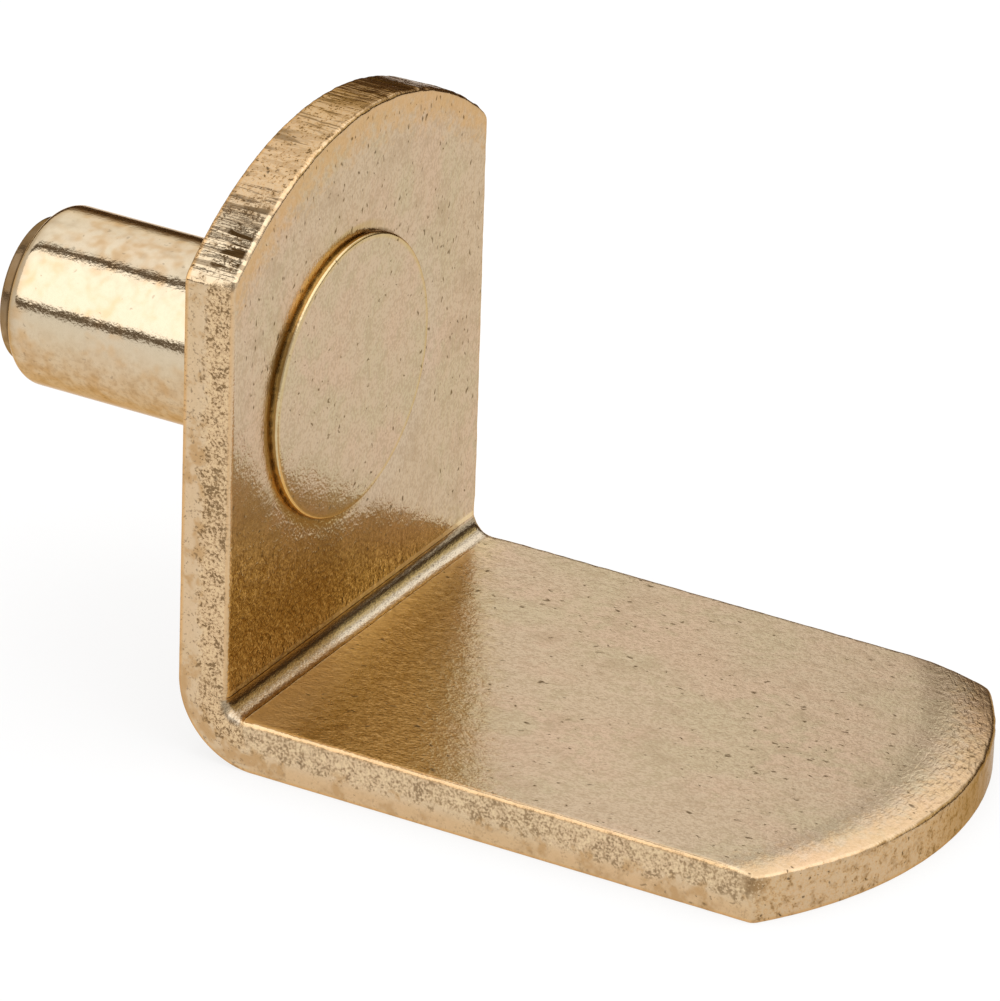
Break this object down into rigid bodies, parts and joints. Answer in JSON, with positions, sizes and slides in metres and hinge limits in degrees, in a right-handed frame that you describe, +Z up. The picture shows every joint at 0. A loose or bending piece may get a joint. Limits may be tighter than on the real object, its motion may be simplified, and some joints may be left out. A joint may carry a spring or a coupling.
{
  "type": "shelf support pin",
  "caption": "L-shaped shelf support: folded brass-plated strip with rounded ends, riveted to a plain round pin that plugs into a drilled hole in a cabinet side.",
  "frame": {"origin": "on the pin's axis, in the upright's back face, which lies against the cabinet side", "axes": "+X along the arm, away from the cabinet side and opposite to the pin, +Y across the strip, +Z up"},
  "size_m": [0.0271, 0.013, 0.016],
  "materials": {
    "plated_strip": "satin plated, pale brass over steel, finely pitted",
    "plated_pin": "bright plated, pale brass over steel"
  },
  "bodies": {
    "root": {"bracket": "plated_strip", "pin": "plated_pin"}
  },
  "joints": []
}
